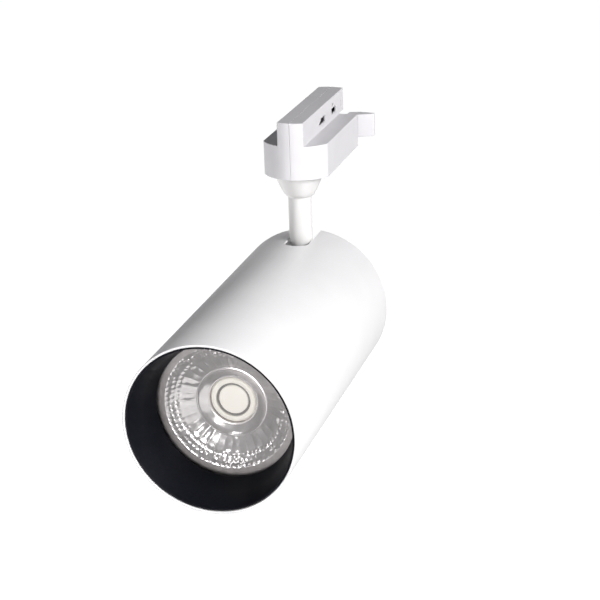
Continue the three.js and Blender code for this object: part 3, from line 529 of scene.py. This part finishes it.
for radius, depth, faceted in front + [(radius, depth, False) for radius, depth in back]:
    row = []
    for step in range(sides):
        turn = 2 * math.pi * step / sides
        lift = bowl_lift(radius, step / ACROSS) if faceted else 0.0
        point = Vector((radius * math.cos(turn), REFLECTOR_FRONT + depth - lift, radius * math.sin(turn)))
        row.append(bowl_shape.verts.new(point * MM + TILT_AXIS))
    rows.append(row)
for first, second in zip(rows, rows[1:] + rows[:1]):
    for step in range(sides):
        after = (step + 1) % sides
        bowl_shape.faces.new((first[step], first[after], second[after], second[step]))
bmesh.ops.recalc_face_normals(bowl_shape, faces=bowl_shape.faces)
bowl_mesh = bpy.data.meshes.new("facet_bowl")
bowl_shape.to_mesh(bowl_mesh)
bowl_shape.free()
crisp(bowl_mesh, 28)
bowl = bpy.data.objects.new("facet_bowl", bowl_mesh)
bpy.context.scene.collection.objects.link(bowl)
bright_coat = moulded(
    "bright aluminium coat", (0.78, 0.75, 0.757), (0.69, 0.66, 0.667), (0.08, 0.2),
    grain=0.6 * MM, depth=4e-7, patch=4 * MM, metal=0.62,
)
fit(bowl, bright_coat, "bright_reflector", "head", "reflector")
satin_flange = moulded(
    "satin flange", (0.27, 0.25, 0.25), (0.22, 0.205, 0.205), (0.38, 0.5),
    grain=0.3 * MM, depth=3e-6, patch=3 * MM, metal=0.7,
)
bowl_mesh.materials.append(satin_flange)
for face in bowl_mesh.polygons:
    away = face.center - TILT_AXIS
    if math.hypot(away.x, away.z) > RIM_RADIUS * MM:
        face.material_index = 1

# ---- LED, its dam and board ----
# The LED is a slightly domed round field of phosphor in clear silicone, cast on a white ceramic
# board inside a thin silicone dam. The dam ring is real; its grey is painted shade for the shadowed wall of
# the holder's opening.

LED_FRONT, LED_BACK = MOUTH + 39.6, MOUTH + 40.95
LED_RADIUS = 7.85
phosphor = moulded(
    "phosphor in silicone", (0.98, 0.94, 0.88), (0.96, 0.91, 0.84), (0.25, 0.4),
    grain=0.35 * MM, depth=6e-6, patch=2.5 * MM,
)
led = turned("phosphor_field", "y", [
    (0, LED_FRONT - 0.1), (4, LED_FRONT - 0.08), (7, LED_FRONT - 0.02), (7.6, LED_FRONT + 0.05),
    (LED_RADIUS, LED_FRONT + 0.3), (LED_RADIUS, LED_BACK), (0, LED_BACK),
], sides=96, at=TILT_AXIS)
fit(led, phosphor, "led_face", "head", "led_disc")
# The dam's grey is painted shade: the dark ring round the LED is the shadowed wall of the holder's opening.
shade_grey_dam = moulded("dam painted grey as shade", (0.24, 0.23, 0.22), (0.18, 0.17, 0.165), (0.4, 0.6), patch=1.5 * MM)
DAM_INNER, DAM_OUTER = 7.9, 8.93
dam = turned("silicone_dam", "y", [
    (DAM_INNER, LED_FRONT + 0.25), (8.1, LED_FRONT), (8.5, LED_FRONT - 0.08), (8.8, LED_FRONT),
    (DAM_OUTER, LED_FRONT + 0.3), (DAM_OUTER, LED_BACK), (DAM_INNER, LED_BACK),
], sides=96, at=TILT_AXIS)
fit(dam, shade_grey_dam, "soft_pad", "head")
white_ceramic = moulded("white ceramic", (0.8, 0.79, 0.75), (0.74, 0.73, 0.69), (0.35, 0.5), patch=3 * MM)
finish_node("led_board", white_ceramic)

# ---- LED holder and its screws ----
# A cream moulded ring clamps the board to the heat sink. Two steel screws, one on each side, go
# through its flange into the sink's base.

HOLDER_FRONT, HOLDER_BACK = MOUTH + 38.9, MOUTH + 42.2
HOLDER_BORE, HOLDER_HUB, HOLDER_RADIUS = 9.0, 11.9, 21.0
FLANGE_FRONT = HOLDER_FRONT + 2.0
POCKET_GAP = 0.3
holder = turned("clamp_ring", "y", [
    (HOLDER_BORE, HOLDER_FRONT + 0.5), (9.15, HOLDER_FRONT + 0.15), (9.5, HOLDER_FRONT), (11.1, HOLDER_FRONT),
    (11.5, HOLDER_FRONT + 0.15), (HOLDER_HUB, HOLDER_FRONT + 0.6), (HOLDER_HUB, FLANGE_FRONT),
    (HOLDER_RADIUS - 0.2, FLANGE_FRONT), (HOLDER_RADIUS, FLANGE_FRONT + 0.2),
    (HOLDER_RADIUS, HOLDER_BACK), (HOLDER_BORE, HOLDER_BACK),
], sides=96, at=TILT_AXIS)
low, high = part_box("led_board")
board_pocket = block(
    "pocket", (low.x / MM - POCKET_GAP, FLANGE_FRONT - 0.1, low.z / MM - POCKET_GAP),
    (high.x / MM + POCKET_GAP, HOLDER_BACK + 0.7, high.z / MM + POCKET_GAP),
)
cut_away(holder, board_pocket)
crisp(holder.data)
fit(holder, cream_plastic, "cream_plastic", "head", "led_holder")
for side in ("left", "right"):
    clamp_screw = softened(f"holder_screw_{side}", f"clamp_screw_{side}", FINE_ROUNDING, steps=2)
    fit(clamp_screw, plated_steel, "steel", "head", f"holder_screw_{side}")

# ---- Heat sink and thermal pad ----
# A cast aluminium base with fins in a star. A soft grey silicone pad on its front carries the
# board's heat into it.

cast_aluminium = moulded(
    "cast aluminium", (0.6, 0.6, 0.61), (0.46, 0.46, 0.47), (0.4, 0.6),
    grain=0.6 * MM, depth=20e-6, patch=5 * MM, metal=1.0,
)
soft_grey = moulded("soft grey silicone", (0.22, 0.22, 0.23), (0.16, 0.16, 0.17), (0.6, 0.8), patch=3 * MM)
finish_node("heat_sink", cast_aluminium)
finish_node("thermal_pad", soft_grey)

# ---- Driver ----
# A black moulded case with a lid holds a green circuit board with a taped transformer and a
# capacitor in a grey sleeve. Red and black leads carry the output to the LED.

black_plastic = moulded("black moulded plastic", (0.03, 0.03, 0.033), (0.02, 0.02, 0.023), (0.4, 0.55))
circuit_green = moulded(
    "green solder mask", (0.02, 0.1, 0.04), (0.012, 0.07, 0.028), (0.2, 0.35), patch=2 * MM,
)
red_tape = moulded("red winding tape", (0.4, 0.03, 0.02), (0.3, 0.02, 0.014), (0.25, 0.4), patch=3 * MM)
for node, finish in (
    ("driver_case", black_plastic), ("driver_lid", black_plastic), ("driver_board", circuit_green),
    ("driver_transformer", red_tape), ("driver_capacitor", grey_acetal), ("led_lead_plus", red_tape),
    ("led_lead_minus", black_plastic),
):
    finish_node(node, finish)

# ---- Bulkhead and tilt joint ----
# A pressed steel bulkhead closes the head in front of the joint. The stem's knuckle turns between its
# two cheeks on a bolt with a nut, with a friction washer on each side to hold the angle. Two grub
# screws hold the bulkhead in the tube, and two hexagonal spacers stand on it.

STEEL_ROUNDING = 0.25 * MM
for node, name, width in (
    ("bulkhead", "joint_bulkhead", STEEL_ROUNDING), ("tilt_bolt", "joint_bolt", SMALL_ROUNDING),
    ("tilt_nut", "joint_nut", STEEL_ROUNDING), ("tube_screw_left", "grub_screw_left", FINE_ROUNDING),
    ("spacer_left", "hex_spacer_left", FINE_ROUNDING),
    ("tube_screw_right", "grub_screw_right", FINE_ROUNDING),
    ("spacer_right", "hex_spacer_right", FINE_ROUNDING),
):
    fit(softened(node, name, width, steps=2), plated_steel, "steel", "head", node)
finish_node("tilt_washer_left", grey_acetal)
finish_node("tilt_washer_right", grey_acetal)
finish_node("grommet", soft_grey)

# ---- Rear cap ----
# An aluminium disc with a slot for the stem closes the rear, in the same white coat as the tube. Two
# screws hold it on the hexagonal spacers.

CAP_FRONT, CAP_BACK = REAR - 4.8, REAR - 2.4
CAP_EDGE = 0.3
cap_outline = [(0, CAP_BACK)] + rounded_corner(INNER, CAP_BACK, CAP_EDGE, -1, -1)[::-1]
cap_outline += rounded_corner(INNER, CAP_FRONT, CAP_EDGE, -1, 1) + [(0, CAP_FRONT)]
cap = turned("rear_disc", "y", cap_outline, sides=200, at=TILT_AXIS)
CAP_SLOT_HALF = SLOT_HALF + 0.4
SLOT_FRONT, SLOT_BACK = CAP_FRONT - 1, CAP_BACK + 1
cap_slot = turned("cap slot end", "y", [
    (0, SLOT_FRONT), (CAP_SLOT_HALF, SLOT_FRONT), (CAP_SLOT_HALF, SLOT_BACK), (0, SLOT_BACK),
], sides=64, at=TILT_AXIS)
axis_height = TILT_AXIS.z / MM
cap_way = block(
    "cap slot", (-CAP_SLOT_HALF, SLOT_FRONT, axis_height),
    (CAP_SLOT_HALF, SLOT_BACK, axis_height + TUBE_RADIUS + OVERREACH),
)
cut_away(cap, cap_slot, cap_way)
rounding = cap.modifiers.new("rounding", "BEVEL")
rounding.width = STEEL_ROUNDING
rounding.segments = 2
rounding.limit_method = "ANGLE"
rounding.angle_limit = math.radians(40)
rounding.use_clamp_overlap = False
rounding.harden_normals = True
cap.data.shade_smooth()
fit(cap, white_coat, "white_paint", "head", "rear_cap")
for side in ("left", "right"):
    node = f"cap_screw_{side}"
    low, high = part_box(node)
    screw = cross_screw(
        f"disc_screw_{side}", "y", high.y / MM, low.y / MM, ((low.x + high.x) / 2, (low.z + high.z) / 2),
        head=2.5, shank=1.2, depth=1.6, inward=-1,
    )
    fit(screw, plated_steel, "steel", "head", node)

# ---- Room ----
# A plain pale floor with an even brightness of its own lies well below the hanging light. A key lamp
# stands at the front right and a broad one in front, weaker ones fill in below and behind, a gleam
# plays on the reflector, and a narrow spot reaches into the mouth. The surround is dim and even.

FLOOR_HEIGHT, FLOOR_REACH = -0.55, 18
floor_shape = bmesh.new()
bmesh.ops.create_grid(floor_shape, x_segments=8, y_segments=8, size=FLOOR_REACH)
for vert in floor_shape.verts:
    vert.co.z = FLOOR_HEIGHT
floor_mesh = bpy.data.meshes.new("floor")
floor_shape.to_mesh(floor_mesh)
floor_shape.free()
floor = bpy.data.objects.new("floor", floor_mesh)
bpy.context.scene.collection.objects.link(floor)
pale_floor = moulded(
    "pale floor", (0.12, 0.12, 0.12), (0.11, 0.11, 0.11), (0.85, 0.9), grain=0.02, depth=1e-5, patch=1.0,
)
pale_shader = pale_floor.node_tree.nodes["Principled BSDF"]
pale_shader.inputs["Emission Color"].default_value = (1, 1, 1, 1)
pale_shader.inputs["Emission Strength"].default_value = 1.0
pale_shader.inputs["Specular IOR Level"].default_value = 0.0
floor_mesh.materials.append(pale_floor)
floor.visible_diffuse = False

surround = bpy.data.worlds.new("surround")
surround.use_nodes = True
surround.node_tree.nodes["Background"].inputs["Color"].default_value = (0.96, 0.97, 1.0, 1)
surround.node_tree.nodes["Background"].inputs["Strength"].default_value = 0.15
bpy.context.scene.world = surround

light_target = Vector((0, -0.05, -0.08))
for name, direction, distance, size, power in (
    ("key", (0.76, -0.33, 0.46), 1.3, 0.42, 20),
    ("front", (-0.05, -1.0, 0.0), 1.8, 0.9, 21),
    ("below", (0.5, -0.3, -0.3), 1.5, 0.8, 3),
    ("gleam", (-0.4, -0.65, 0.6), 1.1, 0.5, 3),
    ("back", (-0.05, 1.0, 0.0), 1.5, 0.3, 13),
    ("under", (-0.7, 0.3, -0.65), 0.62, 0.4, 4),
):
    lamp = bpy.data.lights.new(name, "AREA")
    lamp.shape = "SQUARE"
    lamp.size = size
    lamp.energy = power
    lamp_stand = bpy.data.objects.new(name, lamp)
    bpy.context.scene.collection.objects.link(lamp_stand)
    away = Vector(direction).normalized()
    lamp_stand.location = light_target + away * distance
    lamp_stand.rotation_euler = away.to_track_quat("Z", "Y").to_euler()
    lamp_stand.visible_camera = False
    lamp_stand.visible_diffuse = name != "gleam"
    lamp_stand.visible_glossy = name not in ("back", "under")

SNOOT_DISTANCE, SNOOT_SPREAD = 1.2, 0.04
snoot_lamp = bpy.data.lights.new("snoot", "SPOT")
snoot_lamp.energy = 22
snoot_lamp.spot_size = 2 * math.atan(SNOOT_SPREAD / SNOOT_DISTANCE)
snoot_lamp.spot_blend = 0.4
snoot_lamp.shadow_soft_size = 0.1
snoot = bpy.data.objects.new("snoot", snoot_lamp)
bpy.context.scene.collection.objects.link(snoot)
snoot.visible_glossy = False
led_centre = Vector((0, LED_FRONT * MM, 0)) + TILT_AXIS
snoot_way = Vector((0.1, -1, 0.25)).normalized()
snoot.location = led_centre + snoot_way * SNOOT_DISTANCE
snoot.rotation_euler = snoot_way.to_track_quat("Z", "Y").to_euler()

camera_data = bpy.data.cameras.new("camera")
camera_data.lens = 105.11
camera_data.sensor_width = 36
camera = bpy.data.objects.new("camera", camera_data)
bpy.context.scene.collection.objects.link(camera)
right = Vector((0.959699, 0.279113, -0.032782))
up = Vector((-0.06652, 0.338945, 0.938452))
backward = Vector((0.273045, -0.89845, 0.343851))
station = Vector((0.27194, -0.90158, 0.2502))
camera.matrix_world = Matrix((
    (right.x, up.x, backward.x, station.x), (right.y, up.y, backward.y, station.y),
    (right.z, up.z, backward.z, station.z), (0, 0, 0, 1),
))
bpy.context.scene.camera = camera
bpy.context.scene.view_settings.view_transform = "Standard"
